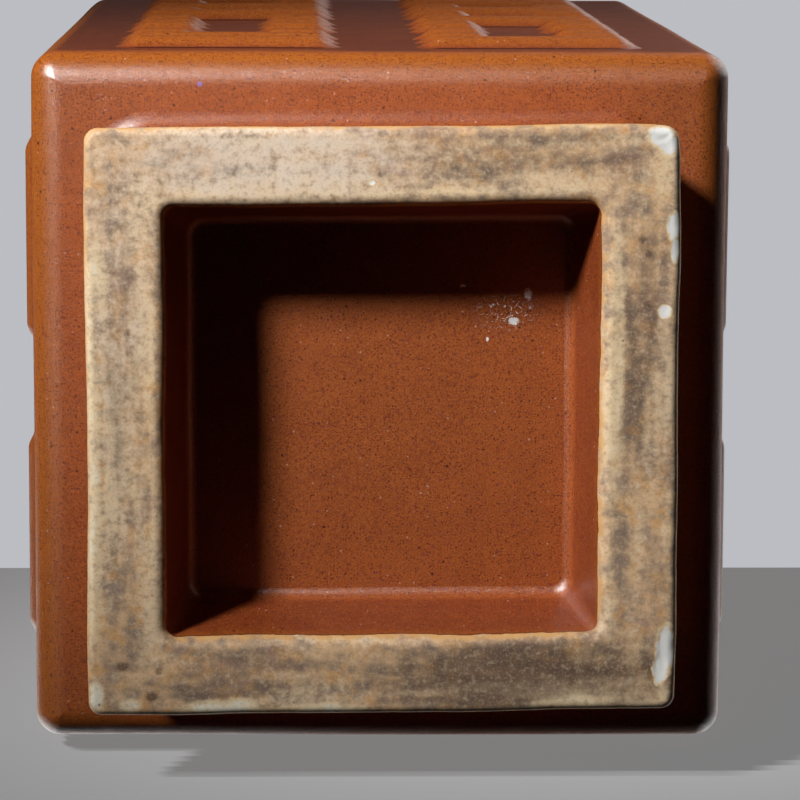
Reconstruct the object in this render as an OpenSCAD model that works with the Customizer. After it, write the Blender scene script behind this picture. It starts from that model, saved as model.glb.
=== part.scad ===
// Cong vase: a square, slab-built ceramic vase on a square foot, with a round neck.
// Each face carries the eight trigrams as two columns of applied half-round bars.
// Millimetres, +Z up, origin at the middle of the foot rim.

/* [Body] */
// Width across the faces
body_w = 125; // [115:0.5:160]
// Height from the underside to the shoulder
body_h = 214; // [200:1:300]
// Thickness of the wall slabs
wall_t = 7; // [6.5:0.1:9]
// Rounding of the edges round the underside and the shoulder
edge_r = 6; // [3:0.1:6.5]
// Rounding of the four upright corners
corner_r = 5.5; // [3:0.1:6.5]

/* [Floor and shoulder] */
// Thickness of the floor slab
floor_t = 8; // [5:0.5:14]
// Thickness of the shoulder slab
shoulder_t = 8; // [5:0.5:14]

/* [Foot] */
// Height of the foot
foot_h = 26; // [23:0.5:36]
// How far the foot stands in from the faces of the body
foot_setback = 11; // [10:0.1:16]
// Breadth of the bare rim
rim_w = 13.4; // [11:0.1:17]
// Rounding of the foot's upright corners
foot_corner_r = 4; // [2:0.1:6]
// Softened edge of the rim
rim_r = 1.4; // [0.5:0.1:2]
// Hollow fillet between the foot and the underside
foot_fillet = 2.8; // [1:0.1:3.5]

/* [Recess in the foot] */
// Depth from the rim to the glazed panel
recess_depth = 19.5; // [15:0.5:21]
// How far each wall of the recess leans in
recess_draft = 2; // [0.5:0.1:3]
// Hollow fillet round the panel, which is also the rebate that holds it
recess_fillet = 3.4; // [2:0.1:5]

/* [Neck] */
// Outside diameter of the neck
neck_d = 88; // [70:0.5:94]
// Height of the neck above the shoulder
neck_h = 26; // [16:0.5:40]
// Thickness of the neck's wall
neck_t = 6; // [4:0.1:9]
// How far the lip swells out from the neck
lip_swell = 1.2; // [0.4:0.1:2]
// Hollow fillet between the neck and the shoulder
neck_fillet = 3; // [1:0.1:4]

/* [Trigrams] */
// Height of one bar, measured up the face
bar_h = 9.6; // [6:0.1:11]
// How far a bar stands out from the face
relief = 2.3; // [1:0.1:3]
// Distance from one line of a trigram to the next
line_pitch = 13; // [11.5:0.1:14]
// Gap in the middle of a broken line
notch_w = 9.5; // [4:0.1:12]
// Plain channel between the two columns
channel_w = 14; // [8:0.5:20]
// Plain margin between a column and the edge of its face
side_margin = 14.5; // [10:0.5:20]
// Plain margin above and below the columns, on the flat of the face
end_margin = 9.8; // [4:0.1:14]

/* [Hidden] */
$fn = 72;
glaze_colour = "#a85a2c";
bar_colour = "#b9682a";
bare_colour = "#b8a283";

// Levels, from the rim up
floor_z = foot_h;
shoulder_z = foot_h + body_h;
top_z = shoulder_z + neck_h;

// Plan sizes, from the centre line out
face_x = body_w / 2;
inside_x = face_x - wall_t;
foot_x = face_x - foot_setback;
opening_x = foot_x - rim_w;
panel_x = opening_x - recess_draft;
neck_r = neck_d / 2;
bore_r = neck_r - neck_t;

// A hollow fillet stops short of a feather edge by this part of its radius
feather = 0.12;

// How far a cut runs past the faces that it opens
overrun = 1;

// Lines of a trigram, lowest first: 1 is whole and 0 is broken
left_column = [["dui", [1, 1, 0]], ["kun", [0, 0, 0]], ["li", [1, 0, 1]], ["xun", [0, 1, 1]]];
right_column = [["zhen", [1, 0, 0]], ["gen", [0, 0, 1]], ["kan", [0, 1, 0]], ["qian", [1, 1, 1]]];
columns = [left_column, right_column];
lines = 3;
rows = len(left_column);

// Bars: a slice of a round rod, with domed ends
bar_r = (pow(bar_h / 2, 2) + pow(relief, 2)) / (2 * relief);
bar_sunk = bar_r - relief;
column_l = face_x - channel_w / 2 - side_margin;
column_y = channel_w / 2 + column_l / 2;
short_l = (column_l - notch_w) / 2;
short_y = (column_l - short_l) / 2;
trigram_h = (lines - 1) * line_pitch + bar_h;
lowest_z = foot_h + edge_r + end_margin;
stack_h = body_h - 2 * edge_r - 2 * end_margin;
trigram_pitch = (stack_h - trigram_h) / (rows - 1);

// Sides in turn about the centre line, from the +X side
sides = ["right", "back", "left", "front"];
quarter = 90;

// Everything nearer to the +X side than to the others
module side_wedge() {
    reach = 2 * body_w;
    linear_extrude(top_z) polygon([[0, 0], [reach, reach], [reach, -reach]]);
}

// Half of the drawing plane, right of the axis
module right_half() {
    reach = 2 * top_z;
    translate([0, -reach / 2]) square([reach, reach]);
}

// A slab along the +X side with mitred ends, whose outside turns the corner about an upright axis.
// The profile that is passed in is drawn from that axis outwards.
module mitred_slab(axis_x) {
    intersection() {
        translate([axis_x, 0, 0]) rotate([90, 0, 0]) linear_extrude(2 * axis_x, center = true) children();
        side_wedge();
    }
    for (end = [0, 1])
        mirror([0, end, 0]) translate([axis_x, axis_x, 0]) rotate_extrude(angle = quarter / 2)
            intersection() {
                children();
                right_half();
            }
}

// Turns a shape in the first quadrant of a profile towards [sx, sz], each 1 or -1
module towards(sx, sz) {
    mirror([sx < 0 ? 1 : 0, 0]) mirror([0, sz < 0 ? 1 : 0]) children();
}

// Square corner of a profile turned on a radius: the corner points towards [sx, sz]
module corner_waste(x, z, sx, sz, r) {
    translate([x - sx * r, z - sz * r]) towards(sx, sz)
        difference() {
            square(2 * r);
            circle(r);
        }
}

// Hollow fillet in the corner at [x, z], which fills towards [sx, sz]
module hollow_fillet(x, z, sx, sz, r) {
    translate([x, z]) towards(sx, sz)
        difference() {
            square(r * (1 - feather));
            translate([r, r]) circle(r);
        }
}

module wall_profile() {
    difference() {
        translate([inside_x, floor_z]) square([wall_t, body_h]);
        corner_waste(face_x, floor_z, 1, -1, edge_r);
        corner_waste(face_x, shoulder_z, 1, 1, edge_r);
    }
}

module wall(side) {
    axis_x = face_x - corner_r;
    color(glaze_colour) rotate([0, 0, side * quarter]) mitred_slab(axis_x)
        translate([-axis_x, 0]) wall_profile();
}

// Hollow fillet from the leaning wall of the recess to its panel
module recess_cove() {
    lean = atan(recess_draft / recess_depth);
    hub_x = panel_x - recess_fillet * tan((quarter - lean) / 2);
    hub_z = recess_depth - recess_fillet;
    wall_x = hub_x + recess_fillet * cos(lean);
    wall_z = hub_z + recess_fillet * sin(lean);
    back = rim_w / 4;
    difference() {
        polygon([
            [hub_x + feather * recess_fillet, recess_depth], [panel_x + back, recess_depth],
            [wall_x + back, wall_z], [hub_x + feather * recess_fillet, wall_z]
        ]);
        translate([hub_x, hub_z]) circle(recess_fillet);
    }
}

module foot_profile() {
    difference() {
        union() {
            polygon([
                [foot_x, 0], [foot_x, foot_h], [panel_x, foot_h], [panel_x, recess_depth], [opening_x, 0]
            ]);
            hollow_fillet(foot_x, foot_h, 1, -1, foot_fillet);
            recess_cove();
        }
        corner_waste(foot_x, 0, 1, -1, rim_r);
        corner_waste(opening_x, 0, -1, -1, rim_r);
    }
}

module foot_strip(side) {
    axis_x = foot_x - foot_corner_r;
    color(bare_colour) rotate([0, 0, side * quarter]) mitred_slab(axis_x)
        translate([-axis_x, 0]) foot_profile();
}

module recess_slab() {
    color(glaze_colour) translate([-panel_x, -panel_x, recess_depth])
        cube([2 * panel_x, 2 * panel_x, foot_h - recess_depth]);
}

module floor_slab() {
    color(glaze_colour) translate([-inside_x, -inside_x, floor_z])
        cube([2 * inside_x, 2 * inside_x, floor_t]);
}

module shoulder_slab() {
    color(glaze_colour) translate([0, 0, shoulder_z - shoulder_t])
        difference() {
            translate([-inside_x, -inside_x, 0]) cube([2 * inside_x, 2 * inside_x, shoulder_t]);
            translate([0, 0, -overrun]) cylinder(r = bore_r, h = shoulder_t + 2 * overrun);
        }
}

module neck_profile() {
    lip_r = (neck_t + lip_swell) / 2;
    translate([bore_r, 0]) square([neck_t, neck_h - lip_r]);
    translate([bore_r + lip_r, neck_h - lip_r]) circle(lip_r);
    hollow_fillet(neck_r, 0, 1, 1, neck_fillet);
}

module neck_ring() {
    color(glaze_colour) translate([0, 0, shoulder_z]) rotate_extrude() neck_profile();
}

// The round that a bar is sliced from, seen along the bar: its flat lies on the face
module bar_section() {
    intersection() {
        translate([-bar_sunk, 0]) circle(bar_r);
        right_half();
    }
}

// Half of the same section, set up to be turned into a domed end
module bar_end_section() {
    intersection() {
        translate([0, -bar_sunk]) circle(bar_r);
        square(bar_r);
    }
}

// A bar across the +X side, lying on the plane x = 0
module bar(length) {
    straight = length - bar_h;
    rotate([90, 0, 0]) linear_extrude(straight, center = true) bar_section();
    for (end = [0, 1])
        mirror([0, end, 0]) translate([0, straight / 2, 0]) rotate([0, quarter, 0])
            rotate_extrude(angle = 2 * quarter) bar_end_section();
}

module trigram_line(whole) {
    if (whole == 1)
        bar(column_l);
    else
        for (end = [-1, 1]) translate([0, end * short_y, 0]) bar(short_l);
}

module trigram(side, column, row, pattern) {
    y = column == 0 ? -column_y : column_y;
    z = lowest_z + bar_h / 2 + row * trigram_pitch;
    color(bar_colour) rotate([0, 0, side * quarter]) translate([face_x, y, z])
        for (i = [0 : lines - 1]) translate([0, 0, i * line_pitch]) trigram_line(pattern[i]);
}

for (s = [0 : len(sides) - 1]) {
    wall(s);
    foot_strip(s);
    for (c = [0 : len(columns) - 1]) for (r = [0 : rows - 1])
        trigram(s, c, r, columns[c][r][1]);
}
floor_slab();
recess_slab();
shoulder_slab();
neck_ring();
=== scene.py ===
import math

import bmesh
import bpy
from mathutils import Matrix, Vector, noise


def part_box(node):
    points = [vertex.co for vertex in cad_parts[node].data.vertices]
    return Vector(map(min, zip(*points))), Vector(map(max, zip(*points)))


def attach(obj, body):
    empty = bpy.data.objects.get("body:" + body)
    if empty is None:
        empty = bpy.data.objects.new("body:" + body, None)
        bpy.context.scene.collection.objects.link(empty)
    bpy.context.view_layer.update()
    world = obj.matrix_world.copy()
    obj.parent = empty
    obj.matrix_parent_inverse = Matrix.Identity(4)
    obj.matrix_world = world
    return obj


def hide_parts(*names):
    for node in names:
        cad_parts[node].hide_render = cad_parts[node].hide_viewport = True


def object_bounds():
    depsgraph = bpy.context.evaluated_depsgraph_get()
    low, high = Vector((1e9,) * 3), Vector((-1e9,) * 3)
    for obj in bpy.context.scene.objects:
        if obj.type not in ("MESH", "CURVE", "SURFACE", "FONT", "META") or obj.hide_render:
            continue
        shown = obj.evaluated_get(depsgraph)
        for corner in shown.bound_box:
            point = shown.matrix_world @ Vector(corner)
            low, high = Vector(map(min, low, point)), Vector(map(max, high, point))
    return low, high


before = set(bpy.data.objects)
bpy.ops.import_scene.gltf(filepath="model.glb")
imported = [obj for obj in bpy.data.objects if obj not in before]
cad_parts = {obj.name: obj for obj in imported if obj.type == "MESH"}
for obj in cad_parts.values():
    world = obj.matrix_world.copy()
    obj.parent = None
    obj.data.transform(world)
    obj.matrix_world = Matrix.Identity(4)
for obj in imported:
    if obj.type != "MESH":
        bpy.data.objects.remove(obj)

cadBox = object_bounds()
noise.seed_set(12)  # noise_vector starts from the clock otherwise
mm = 0.001
sides = ("right", "back", "left", "front")  # quarter turns about Z, from +X
print("frame:", len(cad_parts), "nodes")

# Levels and plan sizes that the frame gives
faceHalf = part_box("wall_right")[1].x
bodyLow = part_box("wall_right")[0].z
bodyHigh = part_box("wall_right")[1].z
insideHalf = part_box("floor_slab")[1].x
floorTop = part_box("floor_slab")[1].z
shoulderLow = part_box("shoulder_slab")[0].z
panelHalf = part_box("recess_slab")[1].x
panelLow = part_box("recess_slab")[0].z
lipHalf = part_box("neck_ring")[1].x
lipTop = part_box("neck_ring")[1].z


# Camera, at the place that the picture was taken from
shot = {
    "place": (-15.31 * mm, -104.42 * mm, -688.26 * mm),
    "right": (0.99965, -0.00432, -0.02592),
    "down": (0.00053, 0.98953, -0.14431),
    "forward": (0.02627, 0.14424, 0.98919),
    "lens": 180.5,  # on a 36 mm sensor
    "clip": (0.05, 50),
}


def makeCamera():
    data = bpy.data.cameras.new("shot")
    data.lens = shot["lens"]
    data.clip_start, data.clip_end = shot["clip"]
    camera = bpy.data.objects.new("shot", data)
    axes = (Vector(shot["right"]), -Vector(shot["down"]), -Vector(shot["forward"]))
    camera.matrix_world = Matrix.Translation(shot["place"]) @ Matrix(axes).transposed().to_4x4()
    bpy.context.scene.collection.objects.link(camera)
    bpy.context.scene.camera = camera


makeCamera()


# Node helpers
def startMaterial(name):
    material = bpy.data.materials.new(name)
    material.use_nodes = True
    tree = material.node_tree
    shader = next(n for n in tree.nodes if n.type == "BSDF_PRINCIPLED")
    return material, tree, shader


def put(tree, kind, **values):
    node = tree.nodes.new(kind)
    for key, value in values.items():
        setattr(node, key, value)
    return node


def feed(tree, node, socket, value):  # a link from another node, or a plain value
    if isinstance(value, bpy.types.NodeSocket):
        tree.links.new(value, node.inputs[socket])
    else:
        node.inputs[socket].default_value = value


def attribute(tree, name):
    return put(tree, "ShaderNodeAttribute", attribute_name=name).outputs["Fac"]


def calc(tree, operation, a, b=0.0, c=0.0, clamp=False):
    node = put(tree, "ShaderNodeMath", operation=operation, use_clamp=clamp)
    for i, value in enumerate((a, b, c)):
        feed(tree, node, i, value)
    return node.outputs[0]


def total(tree, fields, weights):  # the named fields, each times its weight
    result = 0.0
    for name, weight in weights.items():
        result = calc(tree, "MULTIPLY_ADD", fields[name], weight, result)
    return result


def remap(tree, value, low, high, toLow=0.0, toHigh=1.0):  # smooth between low and high
    node = put(tree, "ShaderNodeMapRange", interpolation_type="SMOOTHSTEP")
    sockets = ("Value", "From Min", "From Max", "To Min", "To Max")
    for socket, end in zip(sockets, (value, low, high, toLow, toHigh)):
        feed(tree, node, socket, end)
    return node.outputs["Result"]


def blendColour(tree, factor, a, b):
    node = put(tree, "ShaderNodeMix", data_type="RGBA", blend_type="MIX", clamp_factor=True)
    for i, value in ((0, factor), (6, a), (7, b)):
        if isinstance(value, tuple):
            value = (*value, 1.0)
        feed(tree, node, i, value)
    return node.outputs[2]


def shifted(tree, where, scale, move):
    mapping = put(tree, "ShaderNodeMapping")
    feed(tree, mapping, "Vector", where)
    mapping.inputs["Scale"].default_value = scale
    mapping.inputs["Location"].default_value = move
    return mapping.outputs[0]


def cloud(tree, where, grain, detail, roughness):  # noise with lumps of about that size, in mm
    node = put(tree, "ShaderNodeTexNoise")
    feed(tree, node, "Vector", where)
    node.inputs["Scale"].default_value = 1.0 / (grain * mm)
    node.inputs["Detail"].default_value = detail
    node.inputs["Roughness"].default_value = roughness
    return node.outputs["Fac"]


speck = {"least": 0.5, "spread": 0.8, "firmness": 1.6}  # range of sizes, and how hard a dot ends


def specks(tree, where, spacing, share, size):  # dots in a share of the cells, from a spacing in mm
    cells = put(tree, "ShaderNodeTexVoronoi")
    feed(tree, cells, "Vector", where)
    cells.inputs["Scale"].default_value = 1.0 / (spacing * mm)
    parts = put(tree, "ShaderNodeSeparateColor")
    tree.links.new(cells.outputs["Color"], parts.inputs[0])
    chosen = calc(tree, "LESS_THAN", parts.outputs[0], share)
    reach = calc(tree, "MULTIPLY_ADD", parts.outputs[1], size * speck["spread"], size * speck["least"])
    dot = remap(tree, cells.outputs["Distance"], reach, 0.0)
    dot = calc(tree, "MULTIPLY", dot, speck["firmness"], clamp=True)
    return calc(tree, "MULTIPLY", chosen, dot)


def speckled(tree, where, colour, colours, rows):
    for name, spacing, share, size, strength in rows:
        dots = calc(tree, "MULTIPLY", specks(tree, where, spacing, share, size), strength)
        colour = blendColour(tree, dots, colour, colours[name])
    return colour


def layered(tree, fields, colour, colours, rows):  # each colour lies where its weighted fields say
    for name, weights, (start, full), most in rows:
        mask = remap(tree, total(tree, fields, weights), start, full, 0.0, most)
        colour = blendColour(tree, mask, colour, colours[name])
    return colour


def farFrom(tree, where, centre, reach):  # 0 in the middle of an oval patch and 1 at its rim, in mm
    scale = [1 / (r * mm) for r in reach]
    move = [-c * mm * s for c, s in zip(centre, scale)]
    length = put(tree, "ShaderNodeVectorMath", operation="LENGTH")
    feed(tree, length, 0, shifted(tree, where, scale, move))
    return length.outputs["Value"]


# Glaze: a persimmon iron glaze, deeper where it pools and orange where it is thin, full of fine specks; its
# deeper colour also holds painted shade on the wall faces, on the recess walls and in the creases round the
# bars
glaze = {
    "body": (0.485, 0.120, 0.022),
    "deep": (0.195, 0.036, 0.012),
    "thin": (0.46, 0.128, 0.015),
    "bright": (0.66, 0.20, 0.045),
    "iron": (0.045, 0.010, 0.007),
    "red": (0.20, 0.018, 0.016),
    "plum": (0.17, 0.035, 0.070),
    "dust": (0.82, 0.50, 0.40),
    "violet": (0.30, 0.17, 0.50),
    "matt": (0.29, 0.36),
    "mattFrom": (0.3, 0.7),  # the stretch of its noise that the range of matt follows
    "ior": 1.5,
    "specular": 0.32,
    "coatIor": 2.4,  # the lustre where the glaze ran together, as the attribute gloss says
    "coatMatt": 0.30,
    "depth": {"poolAndShade": 0.85, "lumps": -0.55, "mottle": -0.35},
    "ground": 0.58,  # depth before these weights
    "thinMost": 0.85,
    "bump": {"peel": 1.1, "pits": 1.0},
    "roll": 3.0,  # height of the end of the glaze, against these
    "bumpDepth": 0.042 * mm,
    "specks": (  # colour, spacing in mm, share of cells, size as part of the spacing, strength
        ("iron", 0.52, 0.42, 0.42, 0.75),
        ("red", 0.60, 0.50, 0.40, 0.70),
        ("dust", 1.2, 0.16, 0.20, 0.55),
        ("plum", 0.95, 0.40, 0.28, 0.60),
        ("iron", 2.2, 0.45, 0.14, 0.95),
        ("plum", 6.5, 0.35, 0.10, 0.60),
    ),
    "grains": (  # colour, weights of its fields, where it starts and is full, and how strong it gets
        ("deep", {"grain": 1.0}, (0.48, 0.34), 0.85),
        ("bright", {"grain": 1.0}, (0.53, 0.70), 0.50),
    ),
    "creaseShade": (  # the dark line round each bar, painted shade in the crease over glaze pooled there, in the same way
        ("iron", {"poolAndShade": 1.0}, (0.84, 1.02), 0.90),
    ),
}
glazeClouds = {  # grain in mm, detail and roughness of each noise
    "lumps": (6.0, 4.0, 0.6),
    "mottle": (1.2, 2.0, 0.6),
    "grain": (0.30, 2.0, 0.7),
    "peel": (2.3, 2.0, 0.5),
    "pits": (0.10, 1.0, 0.6),
    "sheen": (7.0, 3.0, 0.6),
}
scuff = {  # a pale scuff and a violet spot on the underside, in mm
    "centre": (-49.5, -53.3, 26.0),
    "reach": (1.5, 3.0, 3.0),
    "fade": (1.0, 0.3),
    "dots": (0.45, 0.60, 0.50),  # spacing, share of cells and size, as in specks
    "spot": (-32.2, -57.0, 26.0),
    "spotReach": (0.55, 0.55, 2.0),
    "spotFade": (1.1, 0.5),
}
flakes = {  # white lime flakes on the panel of the recess, with crazing round them, in mm
    "spots": (
        ((23.6, -15.4, 19.5), (1.5, 1.05, 3.0)),
        ((26.2, -20.2, 19.5), (0.9, 1.7, 3.0)),
        ((14.6, -21.7, 19.5), (0.9, 0.4, 3.0)),
        ((19.0, -12.2, 19.5), (0.4, 0.6, 3.0)),
    ),
    "spotEdge": {"away": 1.0, "ragged": 1.6},
    "spotFade": (1.55, 1.25),
    "crazing": ((22.5, -17.3, 19.5), (9.0, 5.5, 3.0)),
    "crazingEdge": {"away": 1.0, "ragged": 0.9},
    "crazingFade": (1.35, 0.75),
    "cell": 1.1,
    "line": (0.075, 0.02),  # breadth of a crack as part of a cell, with its soft edge
    "gaps": (0.50, 0.60),
    "ragged": (0.7, 3.0, 0.7),  # grain, detail and roughness
    "colour": (0.97, 0.96, 0.94),
}


def glazeFields(tree, where, *names):
    return {name: cloud(tree, where, *glazeClouds[name]) for name in names}


def glazeColour(tree, where):
    fields = glazeFields(tree, where, "lumps", "mottle", "grain")
    # deeper where glaze pools, and painted shade where the attribute carries it
    fields["poolAndShade"] = attribute(tree, "poolAndShade")
    depth = calc(tree, "ADD", total(tree, fields, glaze["depth"]), glaze["ground"], clamp=True)
    colour = blendColour(tree, depth, glaze["body"], glaze["deep"])
    thin = calc(tree, "MULTIPLY", attribute(tree, "thin"), glaze["thinMost"])
    colour = blendColour(tree, thin, colour, glaze["thin"])
    colour = layered(tree, fields, colour, glaze, glaze["grains"])
    colour = speckled(tree, where, colour, glaze, glaze["specks"])
    # painted shade: a dark line in the creases round the bars
    return layered(tree, fields, colour, glaze, glaze["creaseShade"])


def glazeBump(tree, where, step=None):
    height = total(tree, glazeFields(tree, where, "peel", "pits"), glaze["bump"])
    if step is not None:
        height = calc(tree, "MULTIPLY_ADD", step, glaze["roll"], height)
    bump = put(tree, "ShaderNodeBump")
    bump.inputs["Strength"].default_value = 1.0
    bump.inputs["Distance"].default_value = glaze["bumpDepth"]
    tree.links.new(height, bump.inputs["Height"])
    return bump.outputs["Normal"]


def glazeMatt(tree, where):
    sheen = cloud(tree, where, *glazeClouds["sheen"])
    return remap(tree, sheen, *glaze["mattFrom"], *glaze["matt"])


def setGloss(tree, shader, specular, lustre, normal):
    shader.inputs["IOR"].default_value = glaze["ior"]
    shader.inputs["Specular IOR Level"].default_value = specular
    shader.inputs["Coat IOR"].default_value = glaze["coatIor"]
    shader.inputs["Coat Roughness"].default_value = glaze["coatMatt"]
    tree.links.new(lustre, shader.inputs["Coat Weight"])
    tree.links.new(normal, shader.inputs["Coat Normal"])
    tree.links.new(normal, shader.inputs["Normal"])


def addScuff(tree, where, colour):
    away = farFrom(tree, where, scuff["centre"], scuff["reach"])
    dots = specks(tree, where, *scuff["dots"])
    mark = calc(tree, "MULTIPLY", remap(tree, away, *scuff["fade"]), dots)
    colour = blendColour(tree, mark, colour, glaze["dust"])
    spot = farFrom(tree, where, scuff["spot"], scuff["spotReach"])
    return blendColour(tree, remap(tree, spot, *scuff["spotFade"]), colour, glaze["violet"])


def addFlakes(tree, where, colour):
    fields = {"ragged": cloud(tree, where, *flakes["ragged"])}
    cells = put(tree, "ShaderNodeTexVoronoi", feature="DISTANCE_TO_EDGE")
    feed(tree, cells, "Vector", where)
    cells.inputs["Scale"].default_value = 1 / (flakes["cell"] * mm)
    fields["away"] = farFrom(tree, where, *flakes["crazing"])
    near = remap(tree, total(tree, fields, flakes["crazingEdge"]), *flakes["crazingFade"])
    broken = remap(tree, fields["ragged"], *flakes["gaps"])
    cracks = remap(tree, cells.outputs["Distance"], *flakes["line"])
    cracks = calc(tree, "MULTIPLY", cracks, broken)
    colour = blendColour(tree, calc(tree, "MULTIPLY", cracks, near), colour, flakes["colour"])
    for centre, reach in flakes["spots"]:
        fields["away"] = farFrom(tree, where, centre, reach)
        mark = remap(tree, total(tree, fields, flakes["spotEdge"]), *flakes["spotFade"])
        colour = blendColour(tree, mark, colour, flakes["colour"])
    return colour


def makeGlaze(name, *extras):
    material, tree, shader = startMaterial(name)
    where = put(tree, "ShaderNodeTexCoord").outputs["Object"]
    colour = glazeColour(tree, where)
    for extra in extras:
        colour = extra(tree, where, colour)
    tree.links.new(colour, shader.inputs["Base Color"])
    tree.links.new(glazeMatt(tree, where), shader.inputs["Roughness"])
    setGloss(tree, shader, glaze["specular"], attribute(tree, "gloss"), glazeBump(tree, where))
    return material


glazeMaterial = makeGlaze("persimmonGlaze")
scuffedMaterial = makeGlaze("scuffedGlaze", addScuff)
panelMaterial = makeGlaze("flakedGlaze", addFlakes)


# Foot: glazed sides, and a bare rim with a brushed iron wash that has worn off along its edges
bare = {
    "clay": (0.84, 0.54, 0.30),
    "grey": (0.37, 0.268, 0.200),
    "rust": (0.80, 0.44, 0.18),
    "cream": (0.97, 0.73, 0.47),
    "mauve": (0.48, 0.30, 0.215),
    "brown": (0.14, 0.085, 0.058),
    "pale": (0.86, 0.72, 0.60),
    "worn": (0.99, 0.76, 0.47),
    "rubbed": (1.0, 0.92, 0.74),  # where it is worn most
    "skin": (0.74, 0.40, 0.14),
    # a dark band where the glaze ends: painted shade under its rolled edge
    "glazeEndShade": (0.14, 0.045, 0.018),
    "chip": (0.97, 0.95, 0.90),
    "matt": 0.55,
    "specular": 0.14,
    "stroke": 0.17,  # how short the brushed wash is across a strip, against along it
    "glazeStarts": 1.7,  # height above the rim in mm
    "waver": {"rise": 1.0, "blotches": 0.9, "patches": 1.5},  # what makes this line uneven
    "waverMean": 1.2,
    "glazeEdge": 0.12,  # this one and the next two are from the line, in mm
    "skinFrom": (-1.45, -0.55),
    "rollFrom": (0.6, 0.2),
    "skinMost": 0.85,
    "rollMost": 0.85,
    "skinGaps": (0.36, 0.58, 0.30, 1.0),  # from and to, as the blotches go
    "wash": (  # colour, weights of its fields, where it starts and is full, and how strong it gets
        ("clay", {"strokes": 0.45, "blotches": 0.55}, (0.33, 0.64), 1.0),
        ("mauve", {"patches": 1.0}, (0.50, 0.32), 0.7),
        ("rust", {"stains": 1.0}, (0.50, 0.68), 0.75),
        ("cream", {"smears": 0.7, "mottle": 0.3}, (0.48, 0.66), 0.8),
        ("pale", {"pale": 1.0, "blotches": 1.1, "mottle": 0.5}, (0.95, 1.75), 0.86),
        ("brown", {"grime": 1.0, "strokes": -0.75, "smears": -0.65, "blotches": -0.4}, (-0.95, 0.05), 0.85),
        ("worn", {"worn": 1.0, "strokes": 1.2, "blotches": 1.2, "mottle": 0.4}, (1.60, 2.65), 0.95),
        ("rubbed", {"worn": 1.0, "strokes": 1.2, "blotches": 1.2, "mottle": 0.4}, (2.35, 2.90), 0.95),
        ("brown", {"mottle": 1.0}, (0.49, 0.28), 0.22),
        ("cream", {"mottle": 1.0}, (0.52, 0.72), 0.26),
        ("brown", {"fine": 1.0}, (0.49, 0.28), 0.22),
        ("cream", {"fine": 1.0}, (0.52, 0.72), 0.26),
    ),
    "specks": (  # as on the glaze
        ("brown", 4.6, 0.25, 0.07, 0.7),
    ),
    "chipped": (  # as in the wash
        ("worn", {"chip": 1.0, "mottle": 0.9, "fine": 0.3}, (1.90, 1.60), 1.0),
        ("chip", {"chip": 1.0, "mottle": 0.9, "fine": 0.3}, (1.62, 1.40), 1.0),
    ),
}
bareClouds = {  # shift in the noise, grain in mm, detail and roughness
    "blotches": ((0, 0, 0), 3.0, 3.0, 0.5),
    "patches": ((0.31, 0.17, 0.05), 7.5, 3.0, 0.6),
    "stains": ((0.13, 0.44, 0.22), 3.6, 3.0, 0.55),
    "mottle": ((0, 0, 0), 1.3, 2.0, 0.55),
    "fine": ((0, 0, 0), 0.45, 2.0, 0.6),
}
brushedClouds = {  # in the same way
    "strokes": ((0.2, 0.4, 0.1), 2.6, 2.0, 0.5),
    "smears": ((0.7, 0.1, 0.3), 5.5, 2.0, 0.5),
}
chipping = {  # how the chips run out, in mm
    "rise": 2.5,
    "ragged": 0.25,  # as part of the reach
    "grain": 0.9,
    "fade": (0.45, 1.15),
    "lift": 60,  # how far above the rim the push aims
    "far": 10.0,  # further than any chip counts
}
chips = (  # place on the rim, reach and depth, in mm
    ((47.9, -50.0), (2.2, 1.9), 0.16),
    ((49.2, -48.6), (1.7, 2.0), 0.16),
    ((50.2, -34.4), (1.2, 2.3), 0.14),
    ((50.5, -30.2), (0.8, 2.0), 0.14),
    ((48.8, -19.5), (1.1, 1.1), 0.14),
    ((49.9, 40.0), (1.8, 4.0), 0.25),
    ((48.8, 43.8), (1.2, 2.6), 0.25),
    ((-2.0, -41.8), (0.5, 0.4), 0.10),
)


def brushed(tree, where, move, *lumps):  # runs along each strip, and turns at the mitres
    short = bare["stroke"]
    alongX = cloud(tree, shifted(tree, where, (short, 1, 1), move), *lumps)
    alongY = cloud(tree, shifted(tree, where, (1, short, 1), move), *lumps)
    turned = attribute(tree, "turned")
    return calc(tree, "MULTIPLY_ADD", calc(tree, "SUBTRACT", alongY, alongX), turned, alongX)


def bareFields(tree, where):
    fields = {name: attribute(tree, name) for name in ("rise", "worn", "grime", "pale")}
    for name, (move, *lumps) in bareClouds.items():
        fields[name] = cloud(tree, shifted(tree, where, (1, 1, 1), move), *lumps)
    for name, (move, *lumps) in brushedClouds.items():
        fields[name] = brushed(tree, where, move, *lumps)
    nearest = chipping["far"]
    for (x, y), (alongX, alongY), depth in chips:
        away = farFrom(tree, where, (x, y, 0.0), (alongX, alongY, chipping["rise"]))
        nearest = calc(tree, "MINIMUM", away, nearest)
    fields["chip"] = nearest
    return fields


def bareColour(tree, where, fields):
    colour = layered(tree, fields, bare["grey"], bare, bare["wash"])
    colour = speckled(tree, where, colour, bare, bare["specks"])
    return layered(tree, fields, colour, bare, bare["chipped"])


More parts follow.
